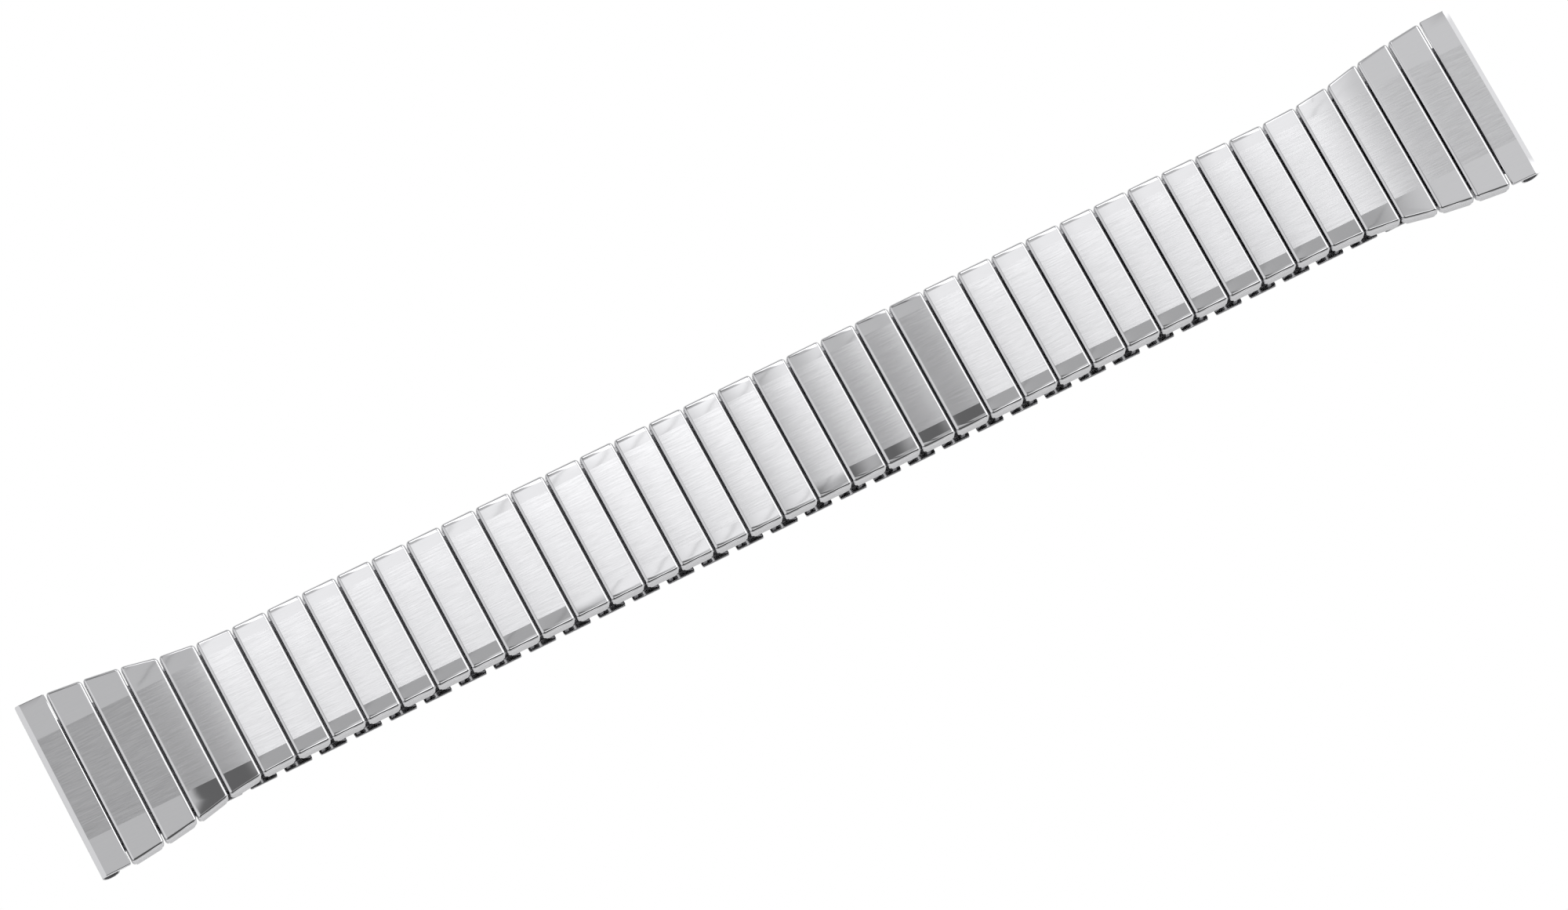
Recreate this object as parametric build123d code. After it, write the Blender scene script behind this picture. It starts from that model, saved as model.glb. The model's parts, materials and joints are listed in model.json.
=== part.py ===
"""Expansion watch band of stainless steel, laid out flat and closed up.

Forty top links stand in a row, each a decorative cap pressed over a sleeve. A second
row of sleeves, the under links, lies below, half a pitch out of step. Flat wire staples
join the two rows at both side edges. A leaf spring in every sleeve bears on the staple
legs. An end link with a rolled tube for a spring bar closes each end.

+X runs along the band, +Y across it, +Z up to the polished side. The origin is the
middle of the band, on the surface it lies on. One arm, from the middle to the right
end, is built here, and the other is the same arm turned half a turn about Z.
"""
from build123d import *
import os

# Driving dimensions of the band, millimetres
links_per_arm = 20
pitch = 3.9
cap_gap = 0.15
band_width = 15.2
lug_width = 20.0
# How much of the way from band_width to lug_width the caps have widened at the joints of
# the flared end, from the last joint inwards
flare_ratios = [0.98, 0.81, 0.58, 0.25, 0.06]
end_length = 3.3
stretch_travel = 1.5
# Joints of an arm, counted from the middle, whose under link is a body of its own
hinge_joint_numbers = [1, 4, 6, 9, 11, 14, 16, 19]

# Decorative cap
cap_thick = 0.5
cap_crown = 0.1
cap_wall = 0.2
cap_skirt_height = 0.75
cap_tab_height = 1.15
cap_corner = 0.2
cap_edge = 0.12
tab_inset = 0.2
tab_taper = 0.25
fit_gap = 0.025

# Sleeves
sleeve_height = 1.2
sleeve_wall = 0.15
under_height = 1.0
under_length = 3.0
layer_gap = 0.3
mouth_inset = 0.65
lip_reach = 0.15

# Staples of flat wire
wire_width = 0.4
wire_thick = 0.2
leg_length = 2.2
leg_lift = 0.15
under_leg_lift = 0.1
leg_side_gap = 0.15
wall_gap = 0.05
back_gap = 0.05

# Leaf springs
spring_thick = 0.1
spring_width = 2.2
spring_inset = 0.3
spring_gap = 0.1
spring_top_half = 2.0

# End link and its tube for a spring bar
tube_bore = 1.6
tube_wall = 0.15
tube_edge_gap = 0.05
end_plate = 0.36
end_skirt_height = 0.12
end_nose = 0.3
strap_overlap = 0.1

# How far a cutting shape runs past what it cuts
overrun = 1.0

# Heights and places worked out from these
sleeve_bottom = under_height + layer_gap
sleeve_top = sleeve_bottom + sleeve_height
cap_top = sleeve_top + cap_thick
skirt_bottom = sleeve_top - cap_skirt_height
tab_bottom = sleeve_top - cap_tab_height
sleeve_length = pitch - cap_gap - 2 * (cap_wall + fit_gap)
mouth = band_width / 2 - mouth_inset
lip_half = band_width / 2 + lip_reach
under_half = under_length / 2
under_leg_z = sleeve_wall + under_leg_lift + wire_thick / 2
top_leg_z = sleeve_bottom + sleeve_wall + leg_lift + wire_thick / 2
staple_rise = top_leg_z - under_leg_z
# A fixed staple stands upright, this far out from the joint
fixed_leg = under_half - sleeve_wall - leg_side_gap - wire_width / 2
# A sliding staple leans, so each leg takes more room along the band: leg_reach is half of
# it. Its lower leg is at the under sleeve's wall, and its upper leg starts one travel
# short of the top sleeve's wall.
under_room = under_half - sleeve_wall - wall_gap
top_room = sleeve_length / 2 - sleeve_wall - wall_gap
bare_lean = pitch / 2 + stretch_travel - under_room - top_room
leg_reach = (wire_width + bare_lean * wire_thick / staple_rise) / (
    2 - 2 * wire_thick / staple_rise
)
slide_low = under_room - leg_reach
slide_high = top_room - leg_reach - stretch_travel
arm_length = links_per_arm * pitch
end_x = arm_length + end_length
end_ceiling = cap_top - end_plate
tube_radius = tube_bore / 2 + tube_wall
tube_x = end_x - tube_edge_gap - tube_radius
tube_z = end_ceiling - fit_gap - tube_radius
tube_half = lug_width / 2 - cap_wall - fit_gap


def joint_x(k):
    """Place of joint k of the arm. Joint 0 is the middle, joint k is outside link k."""
    return k * pitch


def width_at(k):
    """Width of the caps at joint k: parallel along the band, flared towards the end."""
    from_last = links_per_arm - k
    ratio = flare_ratios[from_last] if from_last < len(flare_ratios) else 0
    return band_width + (lug_width - band_width) * ratio


def block(x0, x1, y0, y1, z0, z1):
    """A box between two corners."""
    low = (Align.MIN, Align.MIN, Align.MIN)
    return Pos(x0, y0, z0) * Box(x1 - x0, y1 - y0, z1 - z0, align=low)


def flared_prism(x0, x1, width0, width1, inset, z0, z1):
    """An upright prism whose width runs from width0 at x0 to width1 at x1."""
    corners = [
        (x0 + inset, inset - width0 / 2),
        (x1 - inset, inset - width1 / 2),
        (x1 - inset, width1 / 2 - inset),
        (x0 + inset, width0 / 2 - inset),
    ]
    face = make_face(Polyline(*corners, close=True))
    return Pos(0, 0, z0) * extrude(face, z1 - z0)


def crowned_bar(x0, x1, width, z0):
    """A bar along X whose top is one shallow arc across the band."""
    shoulder = cap_top - cap_crown * (width / band_width) ** 2
    sides = Polyline(
        (-width / 2, shoulder), (-width / 2, z0), (width / 2, z0), (width / 2, shoulder)
    )
    crown = ThreePointArc((width / 2, shoulder), (0, cap_top), (-width / 2, shoulder))
    face = make_face(Plane.YZ * (sides + crown))
    return Pos(x0, 0, 0) * extrude(face, x1 - x0)


def make_lid(x0, x1, width0, width1, z0):
    """A solid lid with cut corners, crowned top and broken top edges."""
    lid = crowned_bar(x0, x1, max(width0, width1), z0)
    lid &= flared_prism(x0, x1, width0, width1, 0, z0, cap_top)
    lid = chamfer(lid.edges().filter_by(Axis.Z), cap_corner)
    return chamfer(lid.faces().sort_by(Axis.Z)[-1].edges(), cap_edge)


def make_cap(k):
    """Decorative cap of link k: long skirts, and a deeper, tapered tab at each side edge."""
    x0 = joint_x(k - 1) + cap_gap / 2
    x1 = joint_x(k) - cap_gap / 2
    widths = width_at(k - 1), width_at(k)
    cap = make_lid(x0, x1, *widths, tab_bottom)
    cap -= flared_prism(x0, x1, *widths, cap_wall, tab_bottom - overrun, sleeve_top)
    foot = tab_inset + tab_taper
    side_view = [
        (x0, cap_top), (x0, skirt_bottom), (x0 + tab_inset, skirt_bottom),
        (x0 + foot, tab_bottom), (x1 - foot, tab_bottom),
        (x1 - tab_inset, skirt_bottom), (x1, skirt_bottom), (x1, cap_top),
    ]
    face = make_face(Plane.XZ * Polyline(*side_view, close=True))
    return cap & extrude(face, max(widths), both=True)


def make_sleeve(x, z0, length, height):
    """A flat tube of folded sheet, open at both side edges of the band."""
    half = length / 2
    outer = block(x - half, x + half, -mouth, mouth, z0, z0 + height)
    half -= sleeve_wall
    reach = mouth + overrun
    z1 = z0 + height - sleeve_wall
    return outer - block(x - half, x + half, -reach, reach, z0 + sleeve_wall, z1)


def make_under_sleeve(x):
    """Under sleeve, whose floor runs on past each mouth as a short lip."""
    sleeve = make_sleeve(x, 0, under_length, under_height)
    return sleeve + block(x - under_half, x + under_half, -lip_half, lip_half, 0, sleeve_wall)


def make_spring(x, low, high):
    """Bowed leaf spring: its tips over the staple legs, its middle at the roof."""
    tip = mouth - spring_inset
    top = high - spring_thick
    under_side = [(-tip, low), (-spring_top_half, top), (spring_top_half, top), (tip, low)]
    upper_side = [(y, z + spring_thick) for y, z in reversed(under_side)]
    face = make_face(Plane.YZ * Polyline(*under_side, *upper_side, close=True))
    return Pos(x - spring_width / 2, 0, 0) * extrude(face, spring_width)


def make_staple(x_low, x_high, side):
    """Flat wire staple at one side edge: a leg into each row, the back between them."""
    inner = mouth + back_gap
    outer = inner + wire_thick
    tip = mouth - leg_length
    z0 = under_leg_z - wire_thick / 2
    z1 = under_leg_z + wire_thick / 2
    z2 = top_leg_z - wire_thick / 2
    z3 = top_leg_z + wire_thick / 2
    outline = [
        (tip, z0), (outer, z0), (outer, z3), (tip, z3),
        (tip, z2), (inner, z2), (inner, z1), (tip, z1),
    ]
    lean = (x_high - x_low) / staple_rise
    start = x_low - wire_width / 2
    corners = [(start + lean * (z - under_leg_z), side * y, z) for y, z in outline]
    return extrude(make_face(Polyline(*corners, close=True)), wire_width, dir=(1, 0, 0))


def link_solids(k):
    """Cap, sleeve and leaf spring of top link k."""
    x = joint_x(k) - pitch / 2
    low = top_leg_z + wire_thick / 2 + spring_gap
    return [
        make_cap(k),
        make_sleeve(x, sleeve_bottom, sleeve_length, sleeve_height),
        make_spring(x, low, sleeve_top - sleeve_wall),
    ]


def under_solids(k):
    """Under link at joint k: its sleeve, leaf spring and four staples.

    The middle joint neither stretches nor bends, so both its staples stand upright.
    """
    x = joint_x(k)
    low = under_leg_z + wire_thick / 2 + spring_gap
    leaning = (x - slide_low, x - pitch / 2 + slide_high) if k else (x - fixed_leg,) * 2
    solids = [make_under_sleeve(x), make_spring(x, low, under_height - sleeve_wall)]
    for side in (-1, 1):
        solids.append(make_staple(x + fixed_leg, x + fixed_leg, side))
        solids.append(make_staple(*leaning, side))
    return solids


def make_end_cap():
    """End cap: a shallow lid whose outer edge is broken wider, over the tube."""
    x0 = arm_length + cap_gap / 2
    bottom = end_ceiling - end_skirt_height
    widths = width_at(links_per_arm), lug_width
    lid = crowned_bar(x0, end_x, lug_width, bottom)
    lid &= flared_prism(x0, end_x, *widths, 0, bottom, cap_top)
    nose = lid.faces().sort_by(Axis.Z)[-1].edges().sort_by(Axis.X)[-1]
    lid = chamfer(nose, end_nose)
    return lid - flared_prism(x0, end_x, *widths, cap_wall, bottom - overrun, end_ceiling)


def make_end_frame():
    """One folded sheet: a channel over the last staples, a strap, and the rolled tube."""
    x0 = arm_length + cap_gap / 2 + cap_wall + fit_gap
    x1 = arm_length + fixed_leg + wire_width / 2
    top = tube_z + tube_radius
    channel = block(x0, x1, -mouth, mouth, sleeve_bottom, top)
    z1 = top - tube_wall
    channel -= block(x0 + tube_wall, x1 + overrun, -lug_width, lug_width,
                     sleeve_bottom + tube_wall, z1)
    strap = block(x1 - strap_overlap, tube_x, -mouth, mouth, z1, top)
    upright = Plane.XZ.offset(-tube_half)
    tube = upright * Pos(tube_x, tube_z) * Circle(tube_radius)
    bore = Plane.XZ.offset(-lug_width) * Pos(tube_x, tube_z) * Circle(tube_bore / 2)
    frame = channel + strap + extrude(tube, 2 * tube_half)
    return frame - extrude(bore, 2 * lug_width)


def save(name, solids, turned):
    """Write one node, turned half a turn about Z when it is in the left arm."""
    if turned:
        solids = [Rot(0, 0, 180) * solid for solid in solids]
    shape = solids[0] if len(solids) == 1 else Compound(children=solids)
    export_step(shape, os.path.join("parts", name + ".step"))


os.makedirs("parts", exist_ok=True)
for turned, side_name in ((False, "right"), (True, "left")):
    for k in range(1, links_per_arm + 2):
        solids = link_solids(k) if k <= links_per_arm else [make_end_cap()]
        inner = k - 1
        if inner in hinge_joint_numbers:
            number = links_per_arm - inner if turned else links_per_arm + inner
            save(f"under_link_{number:02d}", under_solids(inner), turned)
        elif inner or not turned:
            solids += under_solids(inner)
        if k > links_per_arm:
            save(f"end_link_{side_name}", solids, turned)
        else:
            number = links_per_arm + 1 - k if turned else links_per_arm + k
            save(f"link_{number:02d}", solids, turned)
    save(f"end_frame_{side_name}", [make_end_frame()], turned)
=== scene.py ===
import json
import math

import bmesh
import bpy
from mathutils import Matrix, Vector


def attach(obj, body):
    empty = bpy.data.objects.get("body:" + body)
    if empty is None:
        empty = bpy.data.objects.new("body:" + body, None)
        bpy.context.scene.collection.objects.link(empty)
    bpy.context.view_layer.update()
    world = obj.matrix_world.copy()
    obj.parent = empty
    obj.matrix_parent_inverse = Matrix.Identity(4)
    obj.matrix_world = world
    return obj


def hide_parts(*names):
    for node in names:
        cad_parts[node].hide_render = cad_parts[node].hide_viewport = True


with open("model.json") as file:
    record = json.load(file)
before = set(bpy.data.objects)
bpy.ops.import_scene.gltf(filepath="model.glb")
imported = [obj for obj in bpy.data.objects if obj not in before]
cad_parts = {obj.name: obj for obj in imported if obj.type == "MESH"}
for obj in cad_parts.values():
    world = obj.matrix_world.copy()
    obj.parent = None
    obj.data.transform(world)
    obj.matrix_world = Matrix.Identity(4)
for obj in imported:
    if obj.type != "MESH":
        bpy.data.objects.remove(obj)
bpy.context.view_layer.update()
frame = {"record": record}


# Decorative caps

# The forty caps are what shows of the band: stainless sheet pressed to a shallow lid, its
# middle brushed along the band and its ends left polished. Each has long skirts, a rounded
# tab at each side edge, and is pressed over its sleeve.

mm = 0.001
links_per_arm = 20
link_count = 2 * links_per_arm
pitch = 3.9
cap_gap = 0.19
band_width = 15.2
lug_width = 20.0
flare_shares = [0.98, 0.81, 0.58, 0.25, 0.06]
cap_top = 3.0
cap_crown = 0.1
crown_depth = 0.6
cap_wall = 0.2
skirt_bottom = 1.75
tab_bottom = 1.35
cap_corner = 0.36
cap_rim = 0.3
tab_round = 0.28
tab_depth = 0.5
# Faces that go round each of a cap's rounded edges and corners
cap_steps = 4
brushed_half = 5.85
# How upright the normal is of a face that counts as level, and of the brushed top
level_face = 0.9
level_top = 0.995
# Where the top is cut across, so that it can be crowned
crown_cuts = [1.9, 3.9, brushed_half, 7.0, 8.6]
# Leeway where edges and faces are picked by their place
hair = 0.01
# How near each other corners are that become one, and corners and the plane of a cut
weld = 0.0005
on_plane = 0.0001
# Edges that turn by this many degrees or more stay sharp
sharp_turn = 38


def width_at(joint):
    """Width of the caps at a joint counted from the middle of the band."""
    from_last = links_per_arm - abs(joint)
    share = flare_shares[from_last] if from_last < len(flare_shares) else 0
    return band_width + (lug_width - band_width) * share


def linear(code):
    """A colour written as sRGB hex, as the linear values that a shader takes."""
    parts = [int(code[n:n + 2], 16) / 255 for n in (1, 3, 5)]
    lit = [c / 12.92 if c < 0.04045 else ((c + 0.055) / 1.055) ** 2.4 for c in parts]
    return (*lit, 1.0)


def add(tree, kind, settings, *values, **named):
    """Adds a shader node: settings are its properties, values fill its inputs in order.

    A value may also be a socket to read, or a node, whose first output is read.
    """
    node = tree.nodes.new("ShaderNode" + kind)
    for name, value in settings.items():
        setattr(node, name, value)
    wanted = [(node.inputs[n], value) for n, value in enumerate(values)]
    wanted += [(node.inputs[name.replace("_", " ")], value) for name, value in named.items()]
    for socket, value in wanted:
        if isinstance(value, bpy.types.Node):
            value = value.outputs[0]
        if isinstance(value, bpy.types.NodeSocket):
            tree.links.new(value, socket)
        else:
            socket.default_value = value
    return node


times = {"operation": "MULTIPLY"}
times_plus = {"operation": "MULTIPLY_ADD"}
minus = {"operation": "SUBTRACT"}
divided = {"operation": "DIVIDE"}
larger = {"operation": "MAXIMUM"}
soft_step = {"interpolation_type": "SMOOTHSTEP"}

# How the links of the laid band lean, as slopes: more from link to link through a run of
# 21, much more at the left end, and back at the right end
lean_run = 21
lean_start = 16.01
lean_power = 4.0
lean_most = 0.074
left_end = (-17.5, -19.0)
left_lean = 0.085
right_end_link = 14.5
right_lean = 0.026
jitter = 0.004
cap_bow = 2.9
band_sag = 0.30
# Links left of the middle that tip away from the camera
tip_most = 0.022
tip_rise = (-10.0, -5.0)
tip_fall = (-1.5, 2.0)


def lean_height(tree, place):
    """Height that gives each link its own lean, and each cap a slight bow along the band.

    The next run of links starts level again, and no two links lie quite alike.
    """
    ways = add(tree, "SeparateXYZ", {}, place).outputs
    along = ways["X"]
    link = add(tree, "Math", divided, along, pitch * mm)
    link = add(tree, "Math", {"operation": "FLOOR"}, link)
    middle = add(tree, "Math", times_plus, link, pitch * mm, pitch * mm / 2)
    away = add(tree, "Math", minus, along, middle)
    run = add(tree, "Math", times_plus, link, 1 / lean_run, lean_start / lean_run)
    run = add(tree, "Math", {"operation": "FRACT"}, run)
    curve = add(tree, "Math", {"operation": "POWER"}, run, lean_power)
    left = add(tree, "MapRange", soft_step, link, *left_end)
    past = add(tree, "Math", minus, link, right_end_link)
    past = add(tree, "Math", larger, past, 0.0)
    chance = add(tree, "TexWhiteNoise", {"noise_dimensions": "1D"}, W=link)
    slope = add(tree, "Math", times_plus, chance, jitter, -jitter / 2)
    slope = add(tree, "Math", times_plus, past, -right_lean, slope)
    slope = add(tree, "Math", times_plus, left, left_lean, slope)
    slope = add(tree, "Math", times_plus, curve, lean_most, slope)
    slope = add(tree, "Math", times_plus, away, -cap_bow, slope)
    height = add(tree, "Math", times, slope, away)
    tip = add(tree, "MapRange", soft_step, link, *tip_fall, -tip_most, 0.0)
    tip = add(tree, "Math", times, add(tree, "MapRange", soft_step, link, *tip_rise), tip)
    height = add(tree, "Math", times_plus, tip, ways["Y"], height)
    sag = add(tree, "Math", times, along, along)
    return add(tree, "Math", times_plus, sag, band_sag, height)


# Brush lines of a 240 grit belt are about 0.03 mm apart. They are drawn 0.12 mm apart and
# 2.4 mm long so that they show. The waves that a buff leaves are 3 to 5 mm long
line_size = (2.4, 0.12, 0.12)
wave_size = (5.0, 3.0, 3.0)
brush_turn = 7
# The range that most of the noise is in
noise_range = (0.3, 0.7)
rough_spread = 0.05


def stretched_noise(tree, place, size, detail):
    """Noise whose grains are size long, in millimetres along X, Y and Z."""
    scaled = add(tree, "Mapping", {"vector_type": "POINT"}, place,
                 Rotation=(0, 0, math.radians(brush_turn)), Scale=[1 / (s * mm) for s in size])
    return add(tree, "TexNoise", {"noise_dimensions": "3D"}, scaled, Scale=1.0,
               Detail=detail, Roughness=0.6)


def steel(name, colour, roughness, contrast, streaks=0.0, ripple=0.0, anisotropy=0.0,
          leaning=True):
    """Stainless steel. Contrast is how much darker a brush line is, streaks the depth of the
    brush lines and ripple that of the slow waves a buff leaves, in millimetres. What is
    leaning lies as the links do."""
    material = bpy.data.materials.new(name)
    material.use_nodes = True
    tree = material.node_tree
    tree.nodes.clear()
    place = add(tree, "TexCoord", {}).outputs["Object"]
    grain = stretched_noise(tree, place, line_size, 2.0)
    wave = stretched_noise(tree, place, wave_size, 1.0)
    height = lean_height(tree, place) if leaning else 0.0
    height = add(tree, "Math", times_plus, grain, streaks * mm, height)
    height = add(tree, "Math", times_plus, wave, ripple * mm, height)
    bump = add(tree, "Bump", {}, Strength=1.0, Distance=1.0, Height=height)
    tone = add(tree, "MapRange", {}, grain, *noise_range, 1 - contrast, 1.0)
    tint = add(tree, "VectorMath", {"operation": "SCALE"}, linear(colour)[:3], Scale=tone)
    rough = add(tree, "MapRange", {}, grain, *noise_range, roughness * (1 + rough_spread),
                roughness * (1 - rough_spread))
    across = add(tree, "VectorTransform", {"vector_type": "VECTOR", "convert_from": "OBJECT",
                                           "convert_to": "WORLD"}, (0, 1, 0))
    shader = add(tree, "BsdfPrincipled", {}, Base_Color=tint, Metallic=1.0, Roughness=rough,
                 Anisotropic=anisotropy, Normal=bump, Tangent=across)
    add(tree, "OutputMaterial", {}, Surface=shader)
    return material


# 304 stainless, brushed lengthways with a belt: silky, its highlights drawn out across
# the band, with fine lines that catch the light
brushed_steel = steel("brushed_stainless", "#DFDFE1", roughness=0.2, contrast=0.13,
                      anisotropy=0.85)
# The same sheet buffed to a mirror, a little wavy as thin pressed sheet is
polished_steel = steel("polished_stainless", "#D6D6D8", roughness=0.035, contrast=0.02,
                       ripple=0.004)


def finish_mesh(bm, name, materials, body, wall=0.0, sharp_from=sharp_turn):
    """Makes the piece of a bmesh, gives its sheet a wall, and puts it on its body."""
    bmesh.ops.remove_doubles(bm, verts=bm.verts, dist=weld)
    bmesh.ops.recalc_face_normals(bm, faces=bm.faces)
    for face in bm.faces:
        face.smooth = True
    for edge in bm.edges:
        edge.smooth = len(edge.link_faces) == 2 and (
            edge.calc_face_angle(0) < math.radians(sharp_from))
    bmesh.ops.scale(bm, vec=(mm, mm, mm), verts=bm.verts)
    mesh = bpy.data.meshes.new(name)
    bm.to_mesh(mesh)
    bm.free()
    for material in materials:
        mesh.materials.append(material)
    piece = bpy.data.objects.new(name, mesh)
    bpy.context.scene.collection.objects.link(piece)
    if wall:
        sheet = piece.modifiers.new("wall", "SOLIDIFY")
        sheet.thickness = wall * mm
        sheet.offset = -1.0
    flat = piece.modifiers.new("flat faces", "WEIGHTED_NORMAL")
    flat.keep_sharp = True
    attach(piece, body)
    return piece


def cut_across(bm, axis, places):
    """Cuts the faces along planes square to an axis, where the form changes."""
    normal = Vector([1.0 if n == axis else 0.0 for n in range(3)])
    for place in places:
        bmesh.ops.bisect_plane(bm, geom=bm.verts[:] + bm.edges[:] + bm.faces[:],
                               dist=on_plane, plane_co=normal * place, plane_no=normal)


def lid_block(x0, x1, width0, width1, z0, z1):
    """A block whose width runs from width0 to width1, the start of every pressed lid."""
    bm = bmesh.new()
    bmesh.ops.create_cube(bm, size=1.0)
    for vert in bm.verts:
        share = vert.co.x + 0.5
        vert.co.y *= width0 + (width1 - width0) * share
        vert.co.x = x0 + (x1 - x0) * share
        vert.co.z = z0 if vert.co.z < 0 else z1
    return bm


def bevel(bm, geom, offset, segments, affect="EDGES"):
    """Rounds edges or corners."""
    bmesh.ops.bevel(bm, geom=geom, offset=offset, offset_type="OFFSET", segments=segments,
                    profile=0.5, affect=affect, material=-1)


def upright_edges(edges):
    """Those of a block's edges that stand upright."""
    return [e for e in edges if abs(e.verts[0].co.z - e.verts[1].co.z) > hair]


def crown(bm, above):
    """Drops the top towards the side edges, and what is lower by less, as pressing does."""
    for vert in bm.verts:
        share = max(0.0, (vert.co.z - above) / (cap_top - above))
        vert.co.z -= share * cap_crown * (2 * vert.co.y / band_width) ** 2


def paint_top(bm):
    """The brushed middle takes the first material, and everything else is polished."""
    for face in bm.faces:
        centre = face.calc_center_median()
        brushed = face.normal.z > level_top and abs(centre.y) < brushed_half
        face.material_index = 0 if brushed else 1


def pressed_cap(x0, x1, width0, width1):
    """The open shell of one cap, without its wall."""
    bm = lid_block(x0, x1, width0, width1, tab_bottom, cap_top)
    bevel(bm, upright_edges(bm.edges), cap_corner, cap_steps)
    top = max(bm.faces, key=lambda f: f.calc_center_median().z)
    bevel(bm, top.edges[:], cap_rim, cap_steps)
    cut_across(bm, 2, [skirt_bottom])
    middle = (x0 + x1) / 2
    reach = (x1 - x0) / 2 - cap_corner - hair
    gone = []
    for face in bm.faces:
        centre = face.calc_center_median()
        tab = abs(centre.x - middle) < reach and abs(centre.y) > band_width / 2 - tab_depth
        if centre.z < skirt_bottom and (abs(face.normal.z) > level_face or not tab):
            gone.append(face)
    bmesh.ops.delete(bm, geom=gone, context="FACES")
    feet = [v for v in bm.verts if v.co.z < tab_bottom + hair]
    bevel(bm, feet, tab_round, cap_steps, affect="VERTICES")
    half = max(width0, width1) / 2
    cut_across(bm, 1, [s * y for s in (-1, 1) for y in crown_cuts if y < half])
    crown(bm, cap_top - crown_depth)
    bm.normal_update()
    paint_top(bm)
    return bm


bodies = frame["record"]["behaviour"]["bodies"]
body_of = {node: body for body, nodes in bodies.items() for node in nodes}
for number in range(1, link_count + 1):
    left_joint = number - 1 - links_per_arm
    node = f"link_{number:02d}"
    shell = pressed_cap(left_joint * pitch + cap_gap / 2, (left_joint + 1) * pitch - cap_gap / 2,
                        width_at(left_joint), width_at(left_joint + 1))
    cap = finish_mesh(shell, f"cap_{number:02d}", [brushed_steel, polished_steel],
                      body_of[node], cap_wall)
    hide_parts(node)


# End caps

# One at each end, of the same sheet: a thin flared lid over the spring-bar tube, with a
# shallow edge all round and its outer edge bent down as a wide bright bevel.

end_length = 3.3
end_bottom = 2.52
end_corner = 0.15
end_rim = 0.1
end_nose = 0.5
nose_drop = 0.2
level_edge = 0.1
corner_steps = 3
rim_steps = 2
# Its outer bevel is slight, and still has to show as an edge
nose_sharp = 15
arm_length = links_per_arm * pitch
end_x = arm_length + end_length


def turned_to(bm, side):
    """Turns what was built at the right end half a turn about Z for the left end."""
    if side == "left":
        half_turn = Matrix.Rotation(math.pi, 3, "Z")
        bmesh.ops.rotate(bm, cent=(0, 0, 0), matrix=half_turn, verts=bm.verts)
    return bm


def end_lid():
    """The open shell of an end cap, at the right end."""
    bm = lid_block(arm_length + cap_gap / 2, end_x, width_at(links_per_arm), lug_width,
                   end_bottom, cap_top)
    bevel(bm, upright_edges(bm.edges), end_corner, corner_steps)
    cut_across(bm, 0, [end_x - end_nose])
    for vert in bm.verts:
        if vert.co.z > end_bottom + level_edge:
            vert.co.z -= nose_drop * max(0.0, 1 - (end_x - vert.co.x) / end_nose)
    bm.normal_update()
    top = max(bm.faces, key=lambda f: f.normal.z * f.calc_area())
    bevel(bm, [e for e in top.edges if min(v.co.x for v in e.verts) < end_x - end_nose - end_rim],
          end_rim, rim_steps)
    under = min(bm.faces, key=lambda f: f.calc_center_median().z)
    bmesh.ops.delete(bm, geom=[under], context="FACES")
    cut_across(bm, 1, [s * y for s in (-1, 1) for y in crown_cuts])
    crown(bm, end_bottom)
    bm.normal_update()
    paint_top(bm)
    return bm


for side in ("left", "right"):
    cap = finish_mesh(turned_to(end_lid(), side), f"end_cap_{side}",
                      [brushed_steel, polished_steel], f"end_{side}", cap_wall, nose_sharp)
    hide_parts(f"end_link_{side}")


# Sleeves

# Under every cap is a flat tube of folded stainless sheet, open at both side edges. The
# lower row is half a pitch out of step, and its floor runs on past the mouths as a lip.

sleeve_bottom = 1.3
sleeve_top = 2.5
sleeve_length = 3.3
sleeve_wall = 0.15
sleeve_bend = 0.18
under_height = 1.0
under_length = 3.0
mouth = 6.95
lip_half = 7.75
lip_corner = 0.15
lip_wear = 0.13
fold_steps = 3
wear_steps = 2

# Folded 304 sheet that has been tumbled to take its burrs off: pale and hazy
inner_steel = steel("tumbled_stainless", "#CBCBCD", roughness=0.42, contrast=0.06,
                    streaks=0.0003, ripple=0.006, leaning=False)
# The same sheet where the wrist has worn it: nearly bright, with soft reflections
lip_steel = steel("worn_stainless", "#D6D6D8", roughness=0.12, contrast=0.02, ripple=0.004,
                  leaning=False)


def link_x(number):
    """Where the middle of a top link is along the band."""
    return (number - 0.5 - links_per_arm) * pitch


def joint_x(joint):
    """Where a joint is along the band, counted from the left end."""
    return (joint - links_per_arm) * pitch


def folded_tube(x, length, z0, z1, reach):
    """The shell of a flat tube about x, open at both side edges."""
    bm = lid_block(x - length / 2, x + length / 2, 2 * reach, 2 * reach, z0, z1)
    ends = [f for f in bm.faces if abs(f.calc_center_median().y) > reach - hair]
    bmesh.ops.delete(bm, geom=ends, context="FACES_ONLY")
    long_edges = [e for e in bm.edges if abs(e.verts[0].co.y - e.verts[1].co.y) > reach]
    bevel(bm, long_edges, sleeve_bend, fold_steps)
    return bm


def gather(whole, part):
    """Adds a part to the bmesh of its piece, and frees the part."""
    loose = bpy.data.meshes.new("loose")
    part.to_mesh(loose)
    part.free()
    whole.from_mesh(loose)
    bpy.data.meshes.remove(loose)


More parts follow.
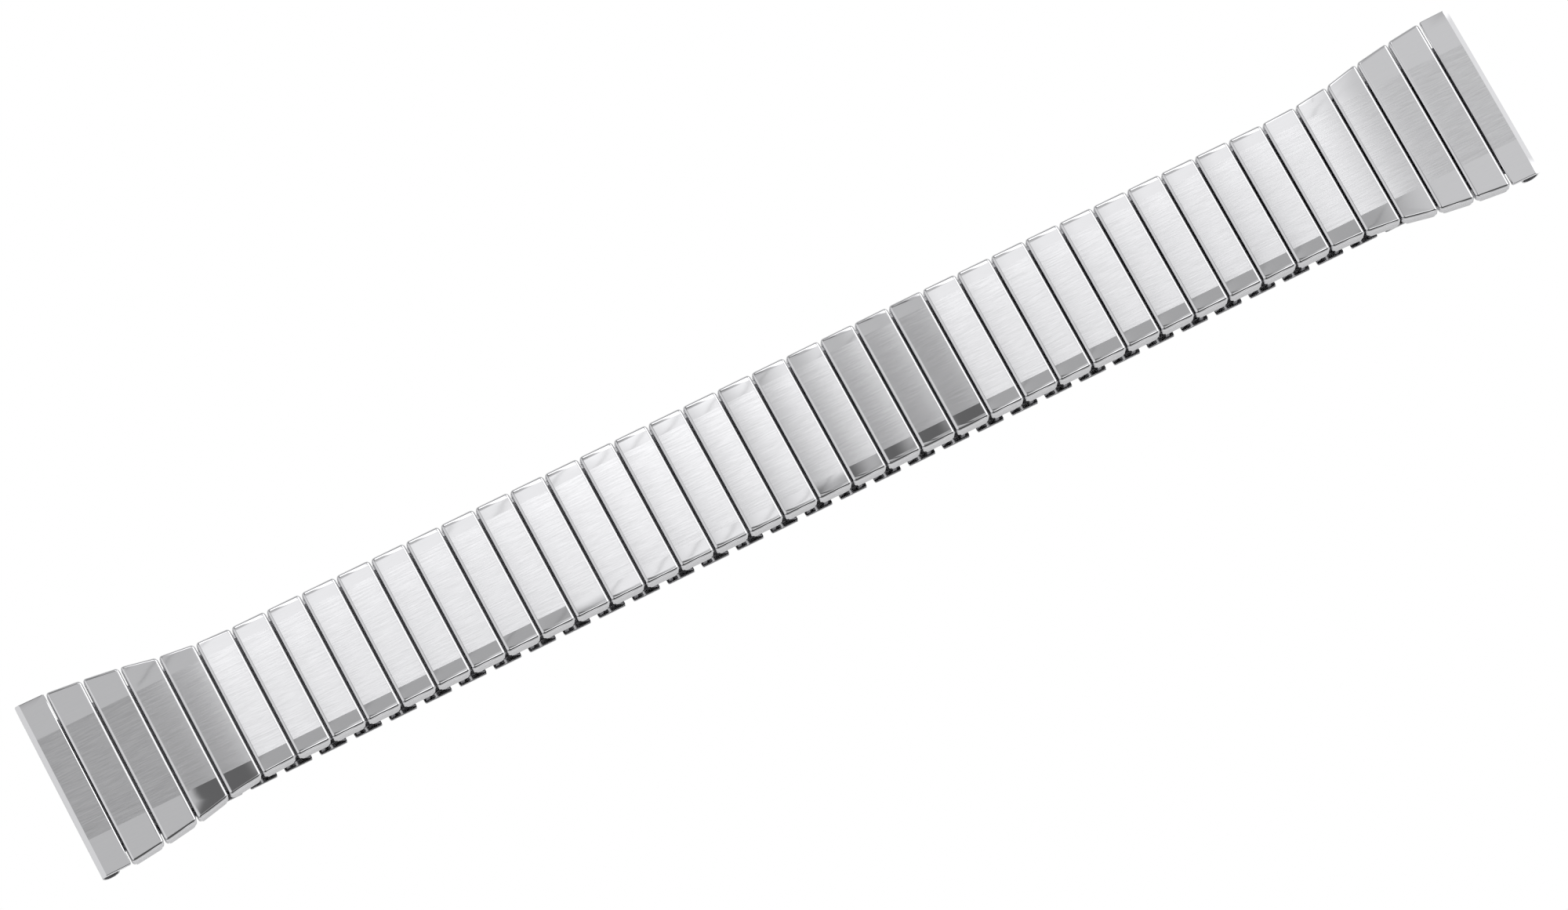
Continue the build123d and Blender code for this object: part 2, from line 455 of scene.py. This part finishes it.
def lip_strips(x):
    """The two lips of an under sleeve: its floor, run on past the mouths, with worn edges."""
    both = bmesh.new()
    reach = lip_half - mouth
    for side in (-1, 1):
        bm = lid_block(x - under_length / 2, x + under_length / 2, reach, reach, 0.0, sleeve_wall)
        bmesh.ops.translate(bm, vec=(0, side * (mouth + reach / 2), 0), verts=bm.verts)
        outer = [e for e in bm.edges if min(side * v.co.y for v in e.verts) > lip_half - hair]
        bevel(bm, upright_edges(outer), lip_corner, fold_steps)
        outer = [e for e in bm.edges if min(v.co.z for v in e.verts) > sleeve_wall - hair
                 and min(side * v.co.y for v in e.verts) > lip_half - lip_corner - hair]
        bevel(bm, outer, lip_wear, wear_steps)
        gather(both, bm)
    return both


for number in range(1, link_count + 1):
    tube = folded_tube(link_x(number), sleeve_length, sleeve_bottom, sleeve_top, mouth)
    sleeve = finish_mesh(tube, f"top_sleeve_{number:02d}", [inner_steel],
                         body_of[f"link_{number:02d}"], sleeve_wall)


def under_body(joint):
    """Body that the under link at a joint rides on, and the node that it is in."""
    own = f"under_link_{joint:02d}"
    if own in body_of:
        return body_of[own], own
    if joint == 0 or joint == link_count:
        side = "left" if joint == 0 else "right"
        return body_of[f"end_link_{side}"], None
    outer = joint + 1 if joint >= links_per_arm else joint
    return body_of[f"link_{outer:02d}"], None


for joint in range(link_count + 1):
    body, node = under_body(joint)
    x = joint_x(joint)
    sleeve = finish_mesh(folded_tube(x, under_length, 0.0, under_height, mouth),
                         f"under_sleeve_{joint:02d}", [inner_steel], body, sleeve_wall)
    if node:
        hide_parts(node)
    lips = finish_mesh(lip_strips(x), f"sleeve_lips_{joint:02d}", [lip_steel], body)


# Staples

# Flat stainless wire bent to a U. Four join the two rows at each joint, two at each side
# edge: a leg goes into a top sleeve and a leg into an under sleeve, and nothing else holds.

wire_width = 0.4
wire_thick = 0.2
wire_bend = 0.15
leg_length = 2.2
back_gap = 0.05
under_leg_z = 0.35
top_leg_z = 1.7
bend_steps = 3
# How far from its joint a staple's legs are: upright ones, and the lower and the upper leg
# of one that slides, the upper one counted from the middle of the link
fixed_leg = 1.0
slide_low = 1.0044
slide_high = 0.3456


def bent_wire(x_low, x_high, side):
    """One staple: a wire end drawn in along a leg, round two bends and out again."""
    bm = bmesh.new()
    outer = mouth + back_gap + wire_thick
    turn = outer - wire_bend - wire_thick / 2
    section = bmesh.ops.create_grid(bm, x_segments=1, y_segments=1, size=0.5)["verts"]
    for vert in section:
        vert.co = Vector((vert.co.x * wire_width, mouth - leg_length,
                          under_leg_z + vert.co.y * wire_thick))
    first = bm.faces[:]

    def draw(faces, vec):
        made = bmesh.ops.extrude_face_region(bm, geom=faces)["geom"]
        verts = [g for g in made if isinstance(g, bmesh.types.BMVert)]
        bmesh.ops.translate(bm, vec=vec, verts=verts)
        bmesh.ops.delete(bm, geom=[f for f in faces if f.is_valid and f not in first],
                         context="FACES_ONLY")
        return [g for g in made if isinstance(g, bmesh.types.BMFace)]

    def bend(faces, centre):
        made = bmesh.ops.spin(bm, geom=faces, cent=centre, axis=(1, 0, 0), dvec=(0, 0, 0),
                              angle=math.pi / 2, steps=bend_steps,
                              use_duplicate=False)["geom_last"]
        return [g for g in made if isinstance(g, bmesh.types.BMFace)]

    tip = draw(first, (0, turn - (mouth - leg_length), 0))
    tip = bend(tip, (0, turn, under_leg_z + wire_bend))
    tip = draw(tip, (0, 0, top_leg_z - under_leg_z - 2 * wire_bend))
    tip = bend(tip, (0, turn, top_leg_z - wire_bend))
    draw(tip, (0, mouth - leg_length - turn, 0))
    lean = (x_high - x_low) / (top_leg_z - under_leg_z)
    for vert in bm.verts:
        vert.co.x += x_low + lean * (vert.co.z - under_leg_z)
        vert.co.y *= side
    return bm


for joint in range(link_count + 1):
    x = joint_x(joint)
    out = 1 if joint >= links_per_arm else -1
    # All joints but the middle one stretch, and their inner staples lean
    sliding = (-slide_low, -pitch / 2 - slide_high)
    inner_legs = sliding if joint != links_per_arm else (-fixed_leg, -fixed_leg)
    bundle = bmesh.new()
    for side in (-1, 1):
        for low, high in ((fixed_leg, fixed_leg), inner_legs):
            gather(bundle, bent_wire(x + out * low, x + out * high, side))
    staples = finish_mesh(bundle, f"staples_{joint:02d}", [inner_steel], under_body(joint)[0])


# Leaf springs

# A thin bowed strip of spring steel lies in every sleeve, its tips over the staple legs
# and its middle against the roof. It turns the legs back flat when the band is let go.

spring_thick = 0.1
spring_width = 2.2
spring_tip = 6.65
spring_flat = 2.0
spring_steps = 16
# How fast its bow levels off towards the middle
spring_bow = 1.5
# Heights of the tips and the middle, in the under sleeves and in the top ones
under_spring = (0.65, 0.85)
top_spring = (2.0, 2.35)


def bowed_strip(x, low, high):
    """The upper face of a spring about x, from its tips at low to its middle at high."""
    bm = bmesh.new()
    bmesh.ops.create_grid(bm, x_segments=1, y_segments=spring_steps, size=0.5)
    for vert in bm.verts:
        y = 2 * vert.co.y * spring_tip
        share = min(1.0, max(0.0, (spring_tip - abs(y)) / (spring_tip - spring_flat)))
        z = low + (high - low) * (1 - (1 - share) ** spring_bow)
        vert.co = Vector((x + vert.co.x * spring_width, y, z))
    return bm


for joint in range(link_count + 1):
    spring = finish_mesh(bowed_strip(joint_x(joint), *under_spring), f"under_spring_{joint:02d}",
                         [inner_steel], under_body(joint)[0], spring_thick)
for number in range(1, link_count + 1):
    spring = finish_mesh(bowed_strip(link_x(number), *top_spring), f"top_spring_{number:02d}",
                         [inner_steel], body_of[f"link_{number:02d}"], spring_thick)


# End frames

# One folded sheet under each end cap: a channel that the last staples hook into, a strap,
# and the sheet's edge rolled to a tube across the whole width, for a 1.5 mm spring bar.

mounts = {mount["name"]: mount for mount in frame["record"]["mounts"]}
bore = mounts["spring_bar_right"]
tube_x = bore["pos_m"][0] / mm
tube_z = bore["pos_m"][2] / mm
tube_wall = 0.15
tube_radius = bore["dims"]["r_mm"] + tube_wall
tube_half = bore["dims"]["length_mm"] / 2
channel_inset = 0.3
channel_x0 = arm_length + channel_inset
channel_x1 = arm_length + fixed_leg + wire_width / 2
fold = 0.1
roll_turn = 345
roll_steps = 28


def folded_frame():
    """Channel, strap and rolled tube, as the middle line of the sheet."""
    roof = tube_z + tube_radius - tube_wall / 2
    left = channel_x0 + tube_wall / 2
    floor_z = sleeve_bottom + tube_wall / 2
    bm = bmesh.new()
    line = [(channel_x1, floor_z), (left + fold, floor_z), (left, floor_z + fold),
            (left, roof - fold), (left + fold, roof), (tube_x, roof)]
    verts = [bm.verts.new((x, -mouth, z)) for x, z in line]
    edges = [bm.edges.new(pair) for pair in zip(verts, verts[1:])]
    made = bmesh.ops.extrude_edge_only(bm, edges=edges)["geom"]
    moved = [g for g in made if isinstance(g, bmesh.types.BMVert)]
    bmesh.ops.translate(bm, vec=(0, 2 * mouth, 0), verts=moved)
    roll = bmesh.new()
    roll.edges.new([roll.verts.new((tube_x, y, roof)) for y in (-tube_half, tube_half)])
    bmesh.ops.spin(roll, geom=roll.verts[:] + roll.edges[:], cent=(tube_x, 0, tube_z),
                   axis=(0, 1, 0), dvec=(0, 0, 0), angle=math.radians(roll_turn),
                   steps=roll_steps, use_duplicate=False)
    gather(bm, roll)
    return bm


for side in ("left", "right"):
    rolled = finish_mesh(turned_to(folded_frame(), side), f"end_frame_sheet_{side}",
                         [inner_steel], f"end_{side}", tube_wall)
    rolled.modifiers["wall"].offset = 0.0
    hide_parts(f"end_frame_{side}")


# Table, light and camera

# The band lies on a white table under a large soft light, seen from high up and a little
# to one side with a long lens.

table_half = 3.0
table_drop = 0.00002
mirrored_glow = 0.1
table_mesh = bpy.data.meshes.new("table")
bm = bmesh.new()
bmesh.ops.create_grid(bm, x_segments=1, y_segments=1, size=table_half)
bmesh.ops.translate(bm, vec=(0, 0, -table_drop), verts=bm.verts)
bm.to_mesh(table_mesh)
bm.free()
table = bpy.data.objects.new("table", table_mesh)
bpy.context.scene.collection.objects.link(table)
# The camera sees through it, so that it doesn't hide the band when that curls down
table.visible_camera = False
# Matt white board, a little brighter where metal mirrors it
board = bpy.data.materials.new("white_board")
board.use_nodes = True
tree = board.node_tree
tree.nodes.clear()
mirrored = add(tree, "LightPath", {}).outputs["Is Glossy Ray"]
glow = add(tree, "Math", times, mirrored, mirrored_glow)
glow = add(tree, "Emission", {}, linear("#FFFFFF"), glow)
paper = add(tree, "BsdfDiffuse", {}, linear("#EFEFEF"))
add(tree, "OutputMaterial", {}, add(tree, "AddShader", {}, paper, glow))
table_mesh.materials.append(board)

# The room is white to the camera. The steel finds in it a bright panel to the right of what
# is straight up, a dark screen at the panel's left edge, grey walls, and the dark side behind
# the camera. Each is a range of directions, from the edge where it starts to where it is
# full, given as how far they go right, or ahead, for each unit up
lowest = 0.04
panel = (0.065, 0.15)
panel_level = 2.15
tubes_far, tubes_near = (0.28, 0.288), (0.2, 0.175)
tubes_level = 1.22
between_tubes = 0.54
outer_far, outer_near = (0.4, 0.46), (0.2, 0.15)
outer_wall_level = 0.69
wall_start = (0.0, 0.03)
wall_levels = (0.24, 0.66)
pale_start, pale_end = (0.2, 0.3), (0.68, 0.6)
pale_levels = (0.82, 0.62)
screen_start, screen_end = (-0.008, 0.012), (0.06, 0.115)
screen_level = 0.17
seam_slope = -0.33
seam_spacing = 0.018
seam_width = (0.0006, 0.0014)
seam_strength = 0.6
dark_level = 0.1
dark_start, dark_end = (-0.1, 0.1), (-1.1, -0.75)
low_back, low_back_level = (-1.1, -1.4), 0.7
far_wall, far_wall_level = (0.9, 1.5), 0.5
flank_start, flank_end = (-0.4, 0.0), (1.4, 1.0)
strip_light, strip_light_level = (0.6, 0.68), 2.6
right_wall, right_wall_level = (1.3, 1.5), 1.1
left_wall, left_wall_level = (-0.35, -0.5), 0.95
diffuse_level = 0.85
none_to_all = (0.0, 1.0)

world = bpy.data.worlds.new("room")
bpy.context.scene.world = world
world.use_nodes = True
tree = world.node_tree
tree.nodes.clear()
way = add(tree, "SeparateXYZ", {}, add(tree, "TexCoord", {}).outputs["Generated"]).outputs
height = add(tree, "Math", larger, way["Z"], lowest)
side = add(tree, "Math", divided, way["X"], height)
ahead = add(tree, "Math", divided, way["Y"], height)
# Beyond what a flat cap mirrors: only brushed steel, which draws its highlights out, sees it
outer = add(tree, "Math", larger, add(tree, "MapRange", soft_step, ahead, *outer_far),
            add(tree, "MapRange", soft_step, ahead, *outer_near))
tubes = add(tree, "Math", larger, add(tree, "MapRange", soft_step, ahead, *tubes_far),
            add(tree, "MapRange", soft_step, ahead, *tubes_near))
lit = add(tree, "MapRange", {}, tubes, *none_to_all, between_tubes, tubes_level)
lit = add(tree, "MapRange", {}, outer, *none_to_all, lit, panel_level)
unlit = add(tree, "MapRange", soft_step, side, *wall_start, *wall_levels)
unlit = add(tree, "MapRange", {}, outer, *none_to_all, outer_wall_level, unlit)
level = add(tree, "MapRange", soft_step, side, *panel, unlit, lit)
pale = add(tree, "Math", times, add(tree, "MapRange", soft_step, side, *pale_start),
           add(tree, "MapRange", soft_step, side, *pale_end))
pale_level = add(tree, "MapRange", {}, outer, *none_to_all, *pale_levels)
level = add(tree, "MapRange", {}, pale, *none_to_all, level, pale_level)
# Seams between the panel's tubes, which draw the fine curved lines in the polished ends
past_edge = add(tree, "MapRange", soft_step, side, *screen_start)
line = add(tree, "Math", times_plus, side, seam_slope, ahead)
line = add(tree, "Math", {"operation": "PINGPONG"}, line, seam_spacing)
seam = add(tree, "MapRange", soft_step, line, *seam_width, seam_strength, 0.0)
seam = add(tree, "Math", minus, add(tree, "Math", times, seam, past_edge), pale)
seam = add(tree, "Math", larger, seam, 0.0)
level = add(tree, "MapRange", {}, seam, *none_to_all, level, dark_level)
screen = add(tree, "MapRange", soft_step, side, *screen_end, 1.0, 0.0)
screen = add(tree, "Math", times, past_edge, screen)
screen = add(tree, "Math", times, screen, add(tree, "Math", minus, 1.0, tubes))
level = add(tree, "MapRange", {}, screen, *none_to_all, level, screen_level)
behind = add(tree, "MapRange", soft_step, ahead, *dark_start, 1.0, 0.0)
behind = add(tree, "Math", times, behind, add(tree, "MapRange", soft_step, ahead, *dark_end))
level = add(tree, "MapRange", {}, behind, *none_to_all, level, dark_level)
# Low down, which the caps mirror when they are seen from the back or the front
level = add(tree, "MapRange", soft_step, ahead, *low_back, level, low_back_level)
level = add(tree, "MapRange", soft_step, ahead, *far_wall, level, far_wall_level)
# What the rounded long edges mirror: a strip light on the right, a pale wall on the left
flank = add(tree, "Math", times, add(tree, "MapRange", soft_step, ahead, *flank_start),
            add(tree, "MapRange", soft_step, ahead, *flank_end))
for reach, bright in ((strip_light, strip_light_level), (right_wall, right_wall_level),
                      (left_wall, left_wall_level)):
    seen = add(tree, "Math", times, flank, add(tree, "MapRange", soft_step, side, *reach))
    level = add(tree, "MapRange", {}, seen, *none_to_all, level, bright)
path = add(tree, "LightPath", {}).outputs
shown = add(tree, "MapRange", {}, path["Is Glossy Ray"], *none_to_all, diffuse_level, level)
shown = add(tree, "MapRange", {}, path["Is Camera Ray"], *none_to_all, shown, 1.0)
room = add(tree, "Background", {}, linear("#FFFFFF"), shown)
add(tree, "OutputWorld", {}, room)

lamp_size = 0.9
lamp_watts = 2.0
lamp_place = (-0.15, -0.3, 0.95)
lamp_data = bpy.data.lights.new("overhead_panel", "AREA")
lamp_data.shape = "SQUARE"
lamp_data.size = lamp_size
lamp_data.energy = lamp_watts
lamp = bpy.data.objects.new("overhead_panel", lamp_data)
bpy.context.scene.collection.objects.link(lamp)
lamp.location = lamp_place
lamp.rotation_euler = (-Vector(lamp.location)).to_track_quat("-Z", "Y").to_euler()
lamp.visible_glossy = False

azimuth, elevation = math.radians(-27.4), math.radians(71)
distance, shift_right, shift_up = 1.0, -0.00005, -0.0009
film_width, focal_length = 36.0, 227.6
nearest_seen, furthest_seen = 0.01, 20.0
back = Vector((math.sin(azimuth) * math.cos(elevation), -math.cos(azimuth) * math.cos(elevation),
               math.sin(elevation)))
right = Vector((math.cos(azimuth), math.sin(azimuth), 0))
up = back.cross(right)
camera = bpy.data.objects.new("camera", bpy.data.cameras.new("camera"))
bpy.context.scene.collection.objects.link(camera)
camera.data.sensor_width = film_width
camera.data.lens = focal_length
camera.data.clip_start = nearest_seen
camera.data.clip_end = furthest_seen
camera.location = back * distance + right * shift_right + up * shift_up
camera.rotation_euler = Matrix((right, up, back)).transposed().to_euler()
bpy.context.scene.camera = camera
bpy.context.scene.view_settings.view_transform = "Standard"
